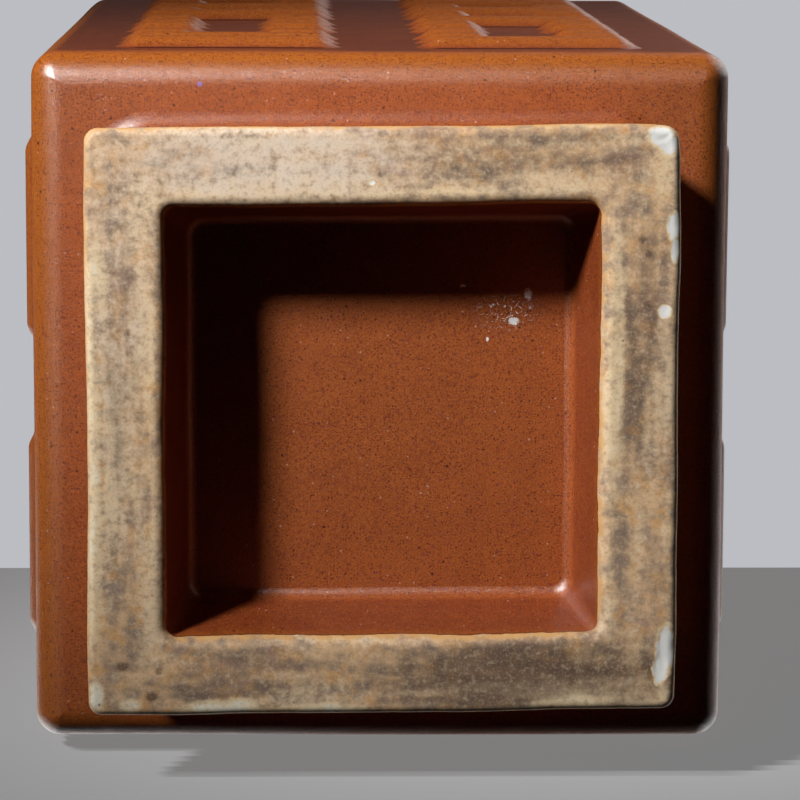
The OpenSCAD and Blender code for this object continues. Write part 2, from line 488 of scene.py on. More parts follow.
def makeFoot(name):
    material, tree, shader = startMaterial(name)
    where = put(tree, "ShaderNodeTexCoord").outputs["Object"]
    fields = bareFields(tree, where)
    colour = bareColour(tree, where, fields)
    height = calc(tree, "SUBTRACT", total(tree, fields, bare["waver"]), bare["waverMean"])
    start = bare["glazeStarts"]
    low, high = (start + s for s in bare["skinFrom"])
    skin = remap(tree, height, low, high, 0.0, bare["skinMost"])
    skin = calc(tree, "MULTIPLY", skin, remap(tree, fields["blotches"], *bare["skinGaps"]))
    colour = blendColour(tree, skin, colour, bare["skin"])
    glazed = remap(tree, height, start - bare["glazeEdge"], start + bare["glazeEdge"])
    colour = blendColour(tree, glazed, colour, glazeColour(tree, where))
    # painted shade: a dark band just above the line where the glaze ends
    low, high = (start + s for s in bare["rollFrom"])
    rolledShade = calc(tree, "MULTIPLY", glazed, remap(tree, height, low, high, 0.0, bare["rollMost"]))
    colour = blendColour(tree, rolledShade, colour, bare["glazeEndShade"])
    tree.links.new(colour, shader.inputs["Base Color"])
    matt = blendColour(tree, glazed, (bare["matt"],) * 3, glazeMatt(tree, where))
    tree.links.new(matt, shader.inputs["Roughness"])
    lustre = calc(tree, "MULTIPLY", glazed, attribute(tree, "gloss"))
    setGloss(tree, shader, bare["specular"], lustre, glazeBump(tree, where, glazed))
    return material


footMaterial = makeFoot("bareFoot")
print("materials:", len(bpy.data.materials))


# Mesh helpers
sway = {"amount": 0.16 * mm, "length": 46 * mm}  # how far the fired ware is out of true
weld = {"loft": 0.5e-6, "neck": 1e-6, "bar": 1e-7, "cut": 1e-7}  # points nearer than this are one
sharpFrom = math.radians(38)  # edges that turn more than this stay sharp


def outOfTrue(bm):  # one field for all pieces, so that their joints stay shut
    for v in bm.verts:
        v.co += noise.noise_vector(v.co / sway["length"]) * sway["amount"]


def smoothStep(x, low, high):
    t = max(0.0, min(1.0, (x - low) / (high - low)))
    return t * t * (3 - 2 * t)


def arc(hub, radius, start, end, steps):  # points of a profile, each outwards and up
    turns = (math.radians(start + (end - start) * i / steps) for i in range(steps + 1))
    return [(hub[0] + radius * math.cos(t), hub[1] + radius * math.sin(t)) for t in turns]


def stretchOf(start, end, steps):  # points between two ends, without the ends
    a, b = Vector(start), Vector(end)
    return [tuple(a.lerp(b, i / steps)) for i in range(1, steps)]


def firstRing(bm, ring, cornerSteps, sideSteps):
    half, radius, z = ring
    corners = [bm.verts.new((half * x, half * y, z)) for x, y in ((1, -1), (1, 1), (-1, 1), (-1, -1))]
    for i in range(4):
        bm.edges.new((corners[i - 1], corners[i]))
    bmesh.ops.bevel(bm, geom=corners, affect="VERTICES", offset=radius, segments=cornerSteps,
                    profile=0.5, material=-1)
    straight = [e for e in bm.edges if e.calc_length() > half]
    bmesh.ops.subdivide_edges(bm, edges=straight, cuts=sideSteps - 1)
    return bm.edges[:]


def nextRing(bm, edges, near, far):  # extrudes a rounded square to its next size, turn and level
    grown = bmesh.ops.extrude_edge_only(bm, edges=edges)["geom"]
    flat = near[0] - near[1]
    newFlat = far[0] - far[1]
    for v in (g for g in grown if isinstance(g, bmesh.types.BMVert)):
        core = Vector((max(-flat, min(flat, v.co.x)), max(-flat, min(flat, v.co.y))))
        turn = (v.co.xy - core) / near[1]
        v.co.xy = core * (newFlat / flat) + turn * far[1]
        v.co.z = far[2]
    return [g for g in grown if isinstance(g, bmesh.types.BMEdge)]


def squareLoft(rings, cornerSteps, sideSteps):  # a closed tube of rounded squares
    bm = bmesh.new()
    edges = firstRing(bm, rings[0], cornerSteps, sideSteps)
    for near, far in zip(rings, rings[1:] + rings[:1]):
        edges = nextRing(bm, edges, near, far)
    bmesh.ops.remove_doubles(bm, verts=bm.verts[:], dist=weld["loft"])
    bmesh.ops.recalc_face_normals(bm, faces=bm.faces[:])
    return bm


def cutSide(whole, side):  # one side of a tube, cut off at its two mitres
    bm = whole.copy()
    turn = Matrix.Rotation(math.radians(90 * side), 3, "Z")
    for hand in (1, -1):
        geom = bm.verts[:] + bm.edges[:] + bm.faces[:]
        mitre = turn @ Vector((-1, hand, 0)).normalized()
        cut = bmesh.ops.bisect_plane(bm, geom=geom, dist=weld["cut"], plane_co=(0, 0, 0),
                                     plane_no=mitre, clear_outer=True)["geom_cut"]
        bmesh.ops.holes_fill(bm, edges=[g for g in cut if isinstance(g, bmesh.types.BMEdge)], sides=0)
    return bm


def finishPiece(bm, name, material, slot, *nodes):
    bmesh.ops.recalc_face_normals(bm, faces=bm.faces[:])
    for face in bm.faces:
        face.smooth = True
    for e in bm.edges:
        e.smooth = e.calc_face_angle(0.0) < sharpFrom
    mesh = bpy.data.meshes.new(name)
    bm.to_mesh(mesh)
    bm.free()
    mesh.materials.append(material)
    piece = bpy.data.objects.new(name, mesh)
    bpy.context.scene.collection.objects.link(piece)
    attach(piece, "root")
    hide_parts(*nodes)


# Wall slabs
walls = {
    "edgeRound": 6.0 * mm,
    "cornerRound": 4.6 * mm,
    "innerCorner": 0.05 * mm,
    "cornerSteps": 13,
    "sideSteps": 48,
    "heightSteps": 84,
    "roundSteps": 14,
    "insideSteps": 12,
    "ground": 0.90,  # how much darker the faces are than the underside: painted shade
    "topGloss": 0.35,  # lustre of the upper edges, against the lower ones
    "faceFrom": (0.8, 1.6),  # this one and the next ones count in rounds of the edge
    "lowGlossEnds": (0.15, 0.6),
    "topGlossFrom": (1.0, 0.5),
}


def dressWalls(tube):  # where the glaze is thin, and the painted shade that darkens the faces
    thin = tube.verts.layers.float.new("thin")
    poolAndShade = tube.verts.layers.float.new("poolAndShade")
    gloss = tube.verts.layers.float.new("gloss")
    r = walls["edgeRound"]
    axis = faceHalf - walls["cornerRound"]
    faceStart, faceFull = (r * s for s in walls["faceFrom"])
    glossFull, glossEnd = (r * s for s in walls["lowGlossEnds"])
    topStart, topFull = (r * s for s in walls["topGlossFrom"])
    for v in tube.verts:
        x, y, z = abs(v.co.x), abs(v.co.y), v.co.z
        turn = Vector((max(0.0, x - axis), max(0.0, y - axis)))
        half = max(x, y, axis + turn.length if turn.length > 0 else 0.0)
        out = max(0.0, half - (faceHalf - r)) / r
        end = max(0.0, bodyLow + r - z, z - bodyHigh + r) / r
        edge = min(1.0, 2 * out * end)
        corner = 2 * turn.x * turn.y / turn.length_squared if turn.length > 1e-6 else 0.0
        v[thin] = max(edge, corner * min(1.0, out))
        face = smoothStep(z, bodyLow + faceStart, bodyLow + faceFull)
        face *= smoothStep(z, bodyHigh - faceStart, bodyHigh - faceFull)
        # painted shade: the faces darker than the underside, except along the thin edges
        v[poolAndShade] = walls["ground"] * face * (1 - v[thin])
        v[gloss] = 1 - smoothStep(z, bodyLow + glossFull, bodyLow + glossEnd)
        v[gloss] += walls["topGloss"] * smoothStep(z, bodyHigh - topStart, bodyHigh - topFull)


def makeWalls():
    r = walls["edgeRound"]
    axis = faceHalf - walls["cornerRound"]
    hub = faceHalf - r
    profile = [(insideHalf, bodyLow)]
    profile += arc((hub, bodyLow + r), r, -90, 0, walls["roundSteps"])
    profile += stretchOf((faceHalf, bodyLow + r), (faceHalf, bodyHigh - r), walls["heightSteps"])
    profile += arc((hub, bodyHigh - r), r, 0, 90, walls["roundSteps"])
    profile += [(insideHalf, bodyHigh)]
    profile += stretchOf((insideHalf, bodyHigh), (insideHalf, bodyLow), walls["insideSteps"])
    rings = [(half, max(half - axis, walls["innerCorner"]), z) for half, z in profile]
    tube = squareLoft(rings, walls["cornerSteps"], walls["sideSteps"])
    dressWalls(tube)
    outOfTrue(tube)
    for k, side in enumerate(sides):
        material = scuffedMaterial if side == "front" else glazeMaterial
        finishPiece(cutSide(tube, k), "wall" + side.title(), material, "glaze", "wall_" + side)
    tube.free()
    print("walls: 4")


makeWalls()


# Floor slab and recess panel
slabs = {
    "floorCells": 40,
    "floorPool": 0.0,
    "floorGloss": 1.0,
    "panelCells": 48,
    "panelPool": 0.22,
    "panelGloss": 0.6,
}


def makeSlab(name, half, low, high, cells, material, depth, lustre, node):
    bm = bmesh.new()
    poolAndShade = bm.verts.layers.float.new("poolAndShade")
    gloss = bm.verts.layers.float.new("gloss")
    level = Matrix.Translation((0, 0, low))
    bmesh.ops.create_grid(bm, x_segments=cells, y_segments=cells, size=half, matrix=level)
    top = bmesh.ops.extrude_face_region(bm, geom=bm.faces[:])["geom"]
    upper = [g for g in top if isinstance(g, bmesh.types.BMVert)]
    bmesh.ops.translate(bm, verts=upper, vec=(0, 0, high - low))
    for v in bm.verts:
        v[poolAndShade] = depth
        v[gloss] = lustre
    outOfTrue(bm)
    finishPiece(bm, name, material, "glaze", node)


makeSlab("floorPanel", insideHalf, bodyLow, floorTop, slabs["floorCells"], scuffedMaterial,
         slabs["floorPool"], slabs["floorGloss"], "floor_slab")
makeSlab("recessPanel", panelHalf, panelLow, bodyLow, slabs["panelCells"], panelMaterial,
         slabs["panelPool"], slabs["panelGloss"], "recess_slab")
print("slabs: 2")


# Foot strips
foot = {
    "setback": 11.0 * mm,
    "splay": 3.2 * mm,  # how far the outside leans in, from the rim up to the body
    "rimBreadth": 13.4 * mm,
    "draft": 3.9 * mm,
    "cornerRound": 2.4 * mm,
    "baseCorner": 7.0 * mm,
    "fillet": 4.6 * mm,
    "outerEdge": 1.5 * mm,
    "innerEdge": 2.3 * mm,
    "openingCorner": 1.9 * mm,
    "panelCorner": 3.5 * mm,
    "backCorner": 0.6 * mm,
    "cove": 2.3 * mm,
    "feather": 0.03 * mm,
    "cornerSteps": 9,
    "sideSteps": 168,
    "rimSteps": 32,
    "wallSteps": 18,
    "outsideSteps": 20,
    "outerSteps": 8,  # of each arc outside the rim
    "innerSteps": 9,
    "coveTurn": 0.8,  # how fast the corner tightens in the cove
    "looseFrom": 6 * mm,  # the rim is uneven up to here, and less so up to the body
    "waver": 0.30 * mm,
    "waverLength": 17 * mm,
    "ripple": 0.22,  # a finer waver, in parts of the long one
    "rippleLength": 0.3,
    "lift": 0.5,  # how much of both goes up
    "apart": (3.1, 7.7, 1.3),  # another part of the noise
    "skew": -0.0105,  # the frame of strips is a little out of square
    "mitreBlend": 2.5 * mm,
    "wornRise": (0.6 * mm, 2.4 * mm),
    "thin": 0.55,
    "thinRise": (1.8 * mm, 5.0 * mm),
    # painted shade: the recess walls darker than the panel
    "recessShade": 0.80,
    "recessGloss": 0.20,
    "coveGloss": 0.7,
    "coveRise": 2.9 * mm,
    "filletPool": 0.35,
    "filletGloss": 0.5,
    "full": 0.8 * mm,  # cove and fillet count in full from here to the joint
}
placeFade = (0.35, 1.25)  # how the places below run out, as parts of their reach
worn = (  # where the wash has rubbed off: place on the rim, reach and strength, in mm
    ((-50.9, 3.0), (2.3, 44.0), 1.15),
    ((-49.4, -25.0), (3.0, 9.0), 0.95),
    ((-50.2, 48.0), (1.9, 3.6), 1.5),
    ((-44.2, 49.6), (2.6, 1.7), 1.3),
    ((-46.7, 44.4), (1.4, 1.1), 0.8),
    ((-28.0, 50.0), (9.0, 2.2), 1.3),
    ((-10.0, 50.4), (10.0, 1.5), 1.0),
    ((33.5, 50.2), (9.0, 1.8), 1.0),
    ((49.6, 48.5), (1.4, 2.2), 0.95),
    ((50.0, 20.0), (2.0, 22.0), 0.5),
    ((48.6, -42.0), (1.8, 6.0), 0.6),
    ((40.4, -8.0), (2.3, 36.0), 0.9),
    ((40.0, 30.0), (1.5, 12.0), 0.6),
    ((14.0, -39.8), (24.0, 1.8), 0.7),
    ((-14.0, -39.2), (12.0, 1.2), 0.5),
    ((-30.0, -51.6), (20.0, 0.9), 0.5),
    ((30.0, -51.6), (18.0, 0.9), 0.6),
    ((-40.0, 5.0), (1.2, 30.0), 0.45),
)
grimy = (  # where the rim is darkest, in the same way
    ((28.0, 45.5), (34.0, 8.0), 0.75),
    ((45.5, -14.0), (6.0, 28.0), 0.50),
    ((-22.0, 44.5), (18.0, 6.0), 0.32),
    ((24.0, -46.0), (30.0, 7.0), 0.40),
    ((-45.0, -8.0), (4.2, 26.0), 0.42),
    ((-40.3, 48.0), (1.2, 1.1), 1.0),
    ((-45.4, 42.7), (1.4, 1.0), 0.9),
    ((-39.0, 43.5), (0.8, 0.9), 0.9),
    ((-44.3, -15.6), (0.8, 1.3), 0.9),
    ((44.6, -31.5), (1.0, 1.0), 0.9),
    ((45.7, -28.9), (0.9, 1.0), 0.9),
    ((45.7, -20.3), (1.0, 1.1), 0.9),
)
dusted = (  # where the rim is palest, in the same way
    ((-20.0, -46.0), (36.0, 9.0), 0.62),
    ((-46.5, -22.0), (7.0, 34.0), 0.40),
    ((35.0, -46.0), (14.0, 6.0), 0.15),
)
rubbedCorner = {  # one corner of the rim is blunter, in mm
    "place": (51.5, -51.5),
    "reach": 6.5,
    "fade": (0.1, 1.0),
    "depth": 0.45,
}


def footRings():
    outside = faceHalf - foot["setback"]
    opening = outside - foot["rimBreadth"]
    base = outside - foot["splay"]
    f, o, i = foot["fillet"], foot["outerEdge"], foot["innerEdge"]
    lean = math.atan(foot["draft"] / panelLow)
    wallAt = opening - i * math.tan(lean)  # where the recess wall leaves the rounded inner edge
    sink = foot["feather"]
    outer = arc((base + f, bodyLow + sink - f), f, 90, 180, foot["outerSteps"])
    outer += stretchOf((base, bodyLow - f), (outside, o), foot["outsideSteps"])
    outer += arc((outside - o, o), o, 0, -90, foot["outerSteps"])
    rings = []
    for half, z in outer:
        share = max(0.0, min(1.0, (z - o) / (bodyLow - f - o)))
        corner = foot["cornerRound"] + (foot["baseCorner"] - foot["cornerRound"]) * share
        rings.append((half, corner + half - outside + foot["splay"] * share, z))
    inner = arc((wallAt + i, i), i, -90, -180, foot["innerSteps"])
    innerTurns = [foot["openingCorner"] + (half - wallAt) for half, z in inner]
    steps = foot["rimSteps"]
    for n, (half, z) in enumerate(stretchOf(outer[-1], inner[0], steps)):
        share = (n + 1) / steps
        rings.append((half, rings[len(outer) - 1][1] * (1 - share) + innerTurns[0] * share, z))
    rings += [(half, turn, z) for (half, z), turn in zip(inner, innerTurns)]
    c = foot["cove"]
    hub = (opening - foot["draft"] - c * math.tan(math.radians(45) - lean / 2), panelLow + sink - c)
    cove = arc(hub, c, math.degrees(lean), 90, foot["innerSteps"])
    steps = foot["wallSteps"]
    growth = foot["panelCorner"] - foot["openingCorner"]
    for n, (half, z) in enumerate(stretchOf(inner[-1], cove[0], steps)):
        rings.append((half, foot["openingCorner"] + growth * (n + 1) / steps, z))
    for half, z in cove:
        turn = foot["panelCorner"] - foot["coveTurn"] * (cove[0][0] - half)
        rings.append((half, max(turn, foot["backCorner"]), z))
    rings += [(panelHalf, foot["backCorner"], z) for z in (panelLow + sink, bodyLow + sink)]
    return rings


def strongest(x, y, places):  # how far a point is into the strongest of some oval places
    most = 0.0
    for (px, py), (rx, ry), strength in places:
        away = math.hypot((x / mm - px) / rx, (y / mm - py) / ry)
        most = max(most, strength * (1 - smoothStep(away, *placeFade)))
    return most


def dressFoot(tube):
    names = ("turned", "rise", "worn", "grime", "pale", "thin", "poolAndShade", "gloss")
    layers = {n: tube.verts.layers.float.new(n) for n in names}
    outside = faceHalf - foot["setback"]
    opening = outside - foot["rimBreadth"]
    blend = foot["mitreBlend"]
    filletSpan = (bodyLow - foot["fillet"], bodyLow - foot["full"])
    coveSpan = (panelLow - foot["coveRise"], panelLow - foot["full"])
    for v in tube.verts:
        x, y, z = v.co
        reach = max(abs(x), abs(y))
        v[layers["turned"]] = smoothStep(abs(x) - abs(y), -blend, blend)
        v[layers["rise"]] = z / mm
        v[layers["worn"]] = strongest(x, y, worn) * (1 - smoothStep(z, *foot["wornRise"]))
        v[layers["grime"]] = strongest(x, y, grimy)
        v[layers["pale"]] = strongest(x, y, dusted)
        fillet = smoothStep(z, *filletSpan) if reach > opening else 0.0
        cove = smoothStep(z, *coveSpan) if reach < opening else 0.0
        # painted shade on the recess walls, fading in the cove to the panel's own depth
        inside = foot["recessShade"] + (slabs["panelPool"] - foot["recessShade"]) * cove
        v[layers["poolAndShade"]] = inside if reach < opening else foot["filletPool"] * fillet
        lustre = foot["recessGloss"] + (foot["coveGloss"] - foot["recessGloss"]) * cove
        v[layers["gloss"]] = lustre if reach < opening else foot["filletGloss"] * fillet
        v[layers["thin"]] = foot["thin"] * (1 - smoothStep(z, *foot["thinRise"]))


def shapeFoot(tube):
    waver, length = foot["waver"], foot["waverLength"]
    apart = Vector(foot["apart"])
    for v in tube.verts:
        loose = 1 - smoothStep(v.co.z, foot["looseFrom"], bodyLow)
        shift = noise.noise_vector(v.co / length + apart) * waver * loose
        ripple = noise.noise_vector(v.co / (foot["rippleLength"] * length))
        shift += ripple * waver * foot["ripple"] * loose
        v.co += Vector((shift.x, shift.y, foot["lift"] * abs(shift.z)))
        if v.co.z < foot["looseFrom"]:
            for (x, y), (rx, ry), depth in chips:
                away = Vector((v.co.x / mm - x, v.co.y / mm - y))
                away = math.hypot(away.x / rx, away.y / ry, v.co.z / mm / chipping["rise"])
                away += chipping["ragged"] * noise.noise(v.co / (chipping["grain"] * mm))
                bite = 1 - smoothStep(away, *chipping["fade"])
                v.co += Vector((-x, -y, chipping["lift"])).normalized() * bite * depth * mm
        x, y = rubbedCorner["place"]
        away = math.hypot(v.co.x / mm - x, v.co.y / mm - y) / rubbedCorner["reach"]
        rub = Vector((x, y)).normalized() * (1 - smoothStep(away, *rubbedCorner["fade"]))
        v.co.xy -= rub * rubbedCorner["depth"] * mm * loose
        v.co.y += foot["skew"] * v.co.x
    outOfTrue(tube)
    for v in tube.verts:
        v.co.z = max(v.co.z, 0.0)


def makeFeet():
    tube = squareLoft(footRings(), foot["cornerSteps"], foot["sideSteps"])
    dressFoot(tube)
    shapeFoot(tube)
    for k, side in enumerate(sides):
        finishPiece(cutSide(tube, k), "foot" + side.title(), footMaterial, "foot", "foot_" + side)
    tube.free()
    print("foot strips: 4")


makeFeet()


# Shoulder and neck
neck = {
    "radius": 44.0 * mm,
    "thickness": 6.0 * mm,
    "fillet": 3.0 * mm,
    "steps": 128,
    "feather": 0.03 * mm,
    "boreSteps": 8,
    "lipSteps": 20,
    "lipEnd": -40,  # degrees below the middle of the lip's round
    "waist": 2.6,  # how far below the top, in rounds of the lip
    "waistSteps": 4,
    "sideSteps": 5,
    "filletSteps": 8,
    "lipThin": (3.2 * mm, 0.6 * mm),  # below the top
    "poolAndShade": 0.18,
    "basePool": 0.65,
    "baseFrom": 1.0 * mm,
    "baseEnd": 2.2,  # in fillets
    "shoulderSteps": 12,
    "shoulderPool": 0.30,
    "shoulderEdge": 4 * mm,
    "collarPool": 0.35,
    "collarReach": 5 * mm,
}


def makeShoulder():
    bore = neck["radius"] - neck["thickness"]
    bm = bmesh.new()
    poolAndShade = bm.verts.layers.float.new("poolAndShade")
    level = Matrix.Translation((0, 0, bodyHigh))
    bmesh.ops.create_circle(bm, radius=bore, segments=neck["steps"], matrix=level)
    edges = bm.edges[:]
    for i in range(1, neck["shoulderSteps"] + 1):
        grown = bmesh.ops.extrude_edge_only(bm, edges=edges)["geom"]
        edges = [g for g in grown if isinstance(g, bmesh.types.BMEdge)]
        for v in (g for g in grown if isinstance(g, bmesh.types.BMVert)):
            out = v.co.xy.normalized()
            square = out * (insideHalf / max(abs(out.x), abs(out.y)))
            v.co.xy = (out * bore).lerp(square, i / neck["shoulderSteps"])
    under = bmesh.ops.extrude_face_region(bm, geom=bm.faces[:])["geom"]
    lower = [g for g in under if isinstance(g, bmesh.types.BMVert)]
    bmesh.ops.translate(bm, verts=lower, vec=(0, 0, shoulderLow - bodyHigh))
    for v in bm.verts:
        away = v.co.xy.length - neck["radius"] - neck["fillet"]
        reach = max(abs(v.co.x), abs(v.co.y))
        edge = smoothStep(reach, insideHalf - neck["shoulderEdge"], insideHalf)
        v[poolAndShade] = neck["shoulderPool"] * (1 - edge)
        v[poolAndShade] += neck["collarPool"] * (1 - smoothStep(away, 0.0, neck["collarReach"]))
    outOfTrue(bm)
    finishPiece(bm, "shoulderPanel", glazeMaterial, "glaze", "shoulder_slab")


def makeNeck():
    bore = neck["radius"] - neck["thickness"]
    lipRound = (lipHalf - bore) / 2
    f = neck["fillet"]
    low = bodyHigh - neck["feather"]
    profile = [(bore, low)]
    profile += stretchOf((bore, low), (bore, lipTop - lipRound), neck["boreSteps"])
    hub = (bore + lipRound, lipTop - lipRound)
    profile += arc(hub, lipRound, 180, neck["lipEnd"], neck["lipSteps"])
    waist = (neck["radius"], lipTop - lipRound * neck["waist"])
    profile += stretchOf(profile[-1], waist, neck["waistSteps"])
    profile += stretchOf(waist, (neck["radius"], low + f), neck["sideSteps"])
    profile += arc((neck["radius"] + f, low + f), f, 180, 270, neck["filletSteps"])
    bm = bmesh.new()
    thin = bm.verts.layers.float.new("thin")
    poolAndShade = bm.verts.layers.float.new("poolAndShade")
    chain = [bm.verts.new((x, 0, z)) for x, z in profile]
    for a, b in zip(chain, chain[1:] + chain[:1]):
        bm.edges.new((a, b))
    bmesh.ops.spin(bm, geom=bm.verts[:] + bm.edges[:], cent=(0, 0, 0), axis=(0, 0, 1),
                   angle=2 * math.pi, steps=neck["steps"], use_merge=True)
    bmesh.ops.remove_doubles(bm, verts=bm.verts[:], dist=weld["neck"])
    thinStart, thinFull = (lipTop - s for s in neck["lipThin"])
    for v in bm.verts:
        v[thin] = smoothStep(v.co.z, thinStart, thinFull)
        base = 1 - smoothStep(v.co.z, low + neck["baseFrom"], low + neck["baseEnd"] * f)
        v[poolAndShade] = neck["basePool"] * base + neck["poolAndShade"]
        v[poolAndShade] *= 1 - v[thin]
    outOfTrue(bm)
    for v in bm.verts:
        v.co.z = min(v.co.z, lipTop)
    finishPiece(bm, "neckRing", glazeMaterial, "glaze", "neck_ring")


makeShoulder()
makeNeck()
print("shoulder and neck: 2")


# Trigrams: soft half-round bars, pressed on by hand, with glaze pooled and painted shade round the base of
# each
relief = {
    "barHeight": 9.6 * mm,
    "notch": 9.5 * mm,
    "sunk": 0.25 * mm,
    "crest": 0.05,  # share of the half breadth where the spine starts
    "fullness": 0.35,  # 0 is a bell and 1 a full dome
    "hem": 0.15 * mm,
    "profileSteps": 18,
    "thin": 0.60,  # how thin the glaze is along the spine
    "thinRise": (0.15, 0.65),  # as parts of the bar's height
    "poolAndShade": 0.42,  # how deep it is at the least
    # painted shade in the crease at the foot of each bar, over glaze pooled there
    "basePool": 1.1,
    "baseRise": (0.02, 0.30),
    "endsLess": 0.4,  # how much less of it lies round the ends
    "spare": 0.22 * mm,  # left for the sway of the ware
    "handLength": 7 * mm,  # noise that tells one bar from another
    "uneven": 0.06,  # most that one bar is lower than another
    "askew": 0.5,  # most that a bar is turned, in degrees
    "turns": 28,
    "lengthSteps": 14,
}
lines = {  # lowest line first, 1 whole and 0 broken
    "dui": (1, 1, 0), "kun": (0, 0, 0), "li": (1, 0, 1), "xun": (0, 1, 1),
    "zhen": (1, 0, 0), "gen": (0, 0, 1), "kan": (0, 1, 0), "qian": (1, 1, 1),
}


def barProfile(high):  # from the spine of the bar outwards, and its height above the face
    half = relief["barHeight"] / 2 + relief["hem"]
    steps = relief["profileSteps"]
    points = []
    for i in range(steps + 1):
        share = relief["crest"] + (1 - relief["crest"]) * i / steps
        bell = (1 + math.cos(math.pi * share)) / 2
        dome = 1 - share ** 2
        points.append((half * share, high * (bell + (dome - bell) * relief["fullness"])))
    return points + [(half + relief["hem"], -relief["sunk"])]


def addBar(bm, length, centre, high):
    bar = bmesh.new()
    thin = bar.verts.layers.float.new("thin")
    poolAndShade = bar.verts.layers.float.new("poolAndShade")
    hand = noise.noise_vector(Vector((centre[0], centre[1], faceHalf)) / relief["handLength"])
    high *= 1 - relief["uneven"] * abs(hand.x)
    chain = [bar.verts.new((h, r, 0)) for r, h in barProfile(high)]
    for a, b in zip(chain, chain[1:]):
        bar.edges.new((a, b))
    half = math.pi / relief["turns"]
    bmesh.ops.rotate(bar, verts=bar.verts[:], cent=(0, 0, 0), matrix=Matrix.Rotation(half, 3, "X"))
    bmesh.ops.spin(bar, geom=bar.verts[:] + bar.edges[:], cent=(0, 0, 0), axis=(1, 0, 0),
                   angle=2 * math.pi, steps=relief["turns"], use_merge=True)
    bmesh.ops.remove_doubles(bar, verts=bar.verts[:], dist=weld["bar"])
    pull = (length - relief["barHeight"]) / 2
    for v in bar.verts:
        rise = max(0.0, v.co.x) / high
        v[thin] = relief["thin"] * smoothStep(rise, *relief["thinRise"])
        side = 1 - relief["endsLess"] * abs(v.co.y) / relief["barHeight"] * 2
        base = relief["basePool"] * side * (1 - smoothStep(rise, *relief["baseRise"]))
        v[poolAndShade] = max(base, relief["poolAndShade"])
        v.co.y += math.copysign(pull, v.co.y)
    for i in range(1, relief["lengthSteps"]):
        at = pull * (2 * i / relief["lengthSteps"] - 1)
        geom = bar.verts[:] + bar.edges[:] + bar.faces[:]
        bmesh.ops.bisect_plane(bar, geom=geom, dist=weld["cut"], plane_co=(0, at, 0), plane_no=(0, 1, 0))
    bmesh.ops.holes_fill(bar, edges=[e for e in bar.edges if e.is_boundary], sides=0)
    askew = Matrix.Rotation(math.radians(relief["askew"]) * hand.y, 3, "X")
    bmesh.ops.rotate(bar, verts=bar.verts[:], cent=(0, 0, 0), matrix=askew)
    bmesh.ops.translate(bar, verts=bar.verts[:], vec=(faceHalf, centre[0], centre[1]))
    mesh = bpy.data.meshes.new("bar")
    bar.to_mesh(mesh)
    bar.free()
    bm.from_mesh(mesh)
    bpy.data.meshes.remove(mesh)


def makeTrigram(k, side, name):
    node = "trigram_" + side + "_" + name
    turn = Matrix.Rotation(math.radians(90 * k), 3, "Z")
    low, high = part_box(node)
    middle = turn.inverted() @ ((low + high) / 2)
    columnLength = max(high.x - low.x, high.y - low.y)
    barHeight = relief["barHeight"]
    pitch = (high.z - low.z - barHeight) / 2
    shortLength = (columnLength - relief["notch"]) / 2
    stand = cadBox[1].x - faceHalf - relief["spare"]
    bm = bmesh.new()
    bm.verts.layers.float.new("thin")
    bm.verts.layers.float.new("poolAndShade")
    for i, whole in enumerate(lines[name]):
        z = low.z + barHeight / 2 + i * pitch
        if whole:
            addBar(bm, columnLength, (middle.y, z), stand)
        else:
            for hand in (-1, 1):
                y = middle.y + hand * (columnLength - shortLength) / 2
                addBar(bm, shortLength, (y, z), stand)
    bmesh.ops.rotate(bm, verts=bm.verts[:], cent=(0, 0, 0), matrix=turn)
    outOfTrue(bm)
    finishPiece(bm, "trigram" + side.title() + name.title(), glazeMaterial, "glaze", node)


for k, side in enumerate(sides):
    for name in lines:
        makeTrigram(k, side, name)
print("trigrams:", len(sides) * len(lines))


# Stage: a pale floor to stand on, and behind the vase a table of flat slats, one above the other, that
# close up to a top for the picture's camera alone
stage = {
    "matt": 0.9,
    "specular": 0.1,
    "table": (0.40, 0.40, 0.41),
    "tableGlow": 0.20,
    "floor": (0.46, 0.46, 0.46),
    "floorGlow": 0.30,
    "backdrop": (0.50, 0.51, 0.54),
    "floorHalf": 3.0,
    "floorGap": 0.3 * mm,  # below the rim, so that the two never lie in one plane
    "tableHalf": 1.2,
    "tableStart": -0.30,
    "slatPitch": 4.0 * mm,
    "slatDepth": 1.3 * mm,
    "slats": 127,  # the last one stays under the eye of a viewer of the standing vase
}


def stagePiece(bm, name, colour, glow):  # clear from behind, and it neither lights nor shades the vase
    mesh = bpy.data.meshes.new(name)
    bm.to_mesh(mesh)
    bm.free()
    material, tree, shader = startMaterial(name)
    shader.inputs["Base Color"].default_value = (*colour, 1)
    shader.inputs["Roughness"].default_value = stage["matt"]
    shader.inputs["Specular IOR Level"].default_value = stage["specular"]
    shader.inputs["Emission Color"].default_value = (1, 1, 1, 1)
    shader.inputs["Emission Strength"].default_value = glow
    behind = put(tree, "ShaderNodeNewGeometry").outputs["Backfacing"]
    clear = put(tree, "ShaderNodeBsdfTransparent")
    mixed = put(tree, "ShaderNodeMixShader")
    feed(tree, mixed, 0, behind)
    tree.links.new(shader.outputs[0], mixed.inputs[1])
    tree.links.new(clear.outputs[0], mixed.inputs[2])
    output = next(n for n in tree.nodes if n.type == "OUTPUT_MATERIAL")
    tree.links.new(mixed.outputs[0], output.inputs["Surface"])
    mesh.materials.append(material)
    piece = bpy.data.objects.new(name, mesh)
    bpy.context.scene.collection.objects.link(piece)
    piece.visible_diffuse = False
    piece.visible_glossy = False
    piece.visible_transmission = False
    piece.visible_shadow = False


def makeFloor():
    bm = bmesh.new()
    level = Matrix.Translation((0, 0, cadBox[0].z - stage["floorGap"]))
    bmesh.ops.create_grid(bm, x_segments=1, y_segments=1, size=stage["floorHalf"], matrix=level)
    stagePiece(bm, "paleFloor", stage["floor"], stage["floorGlow"])


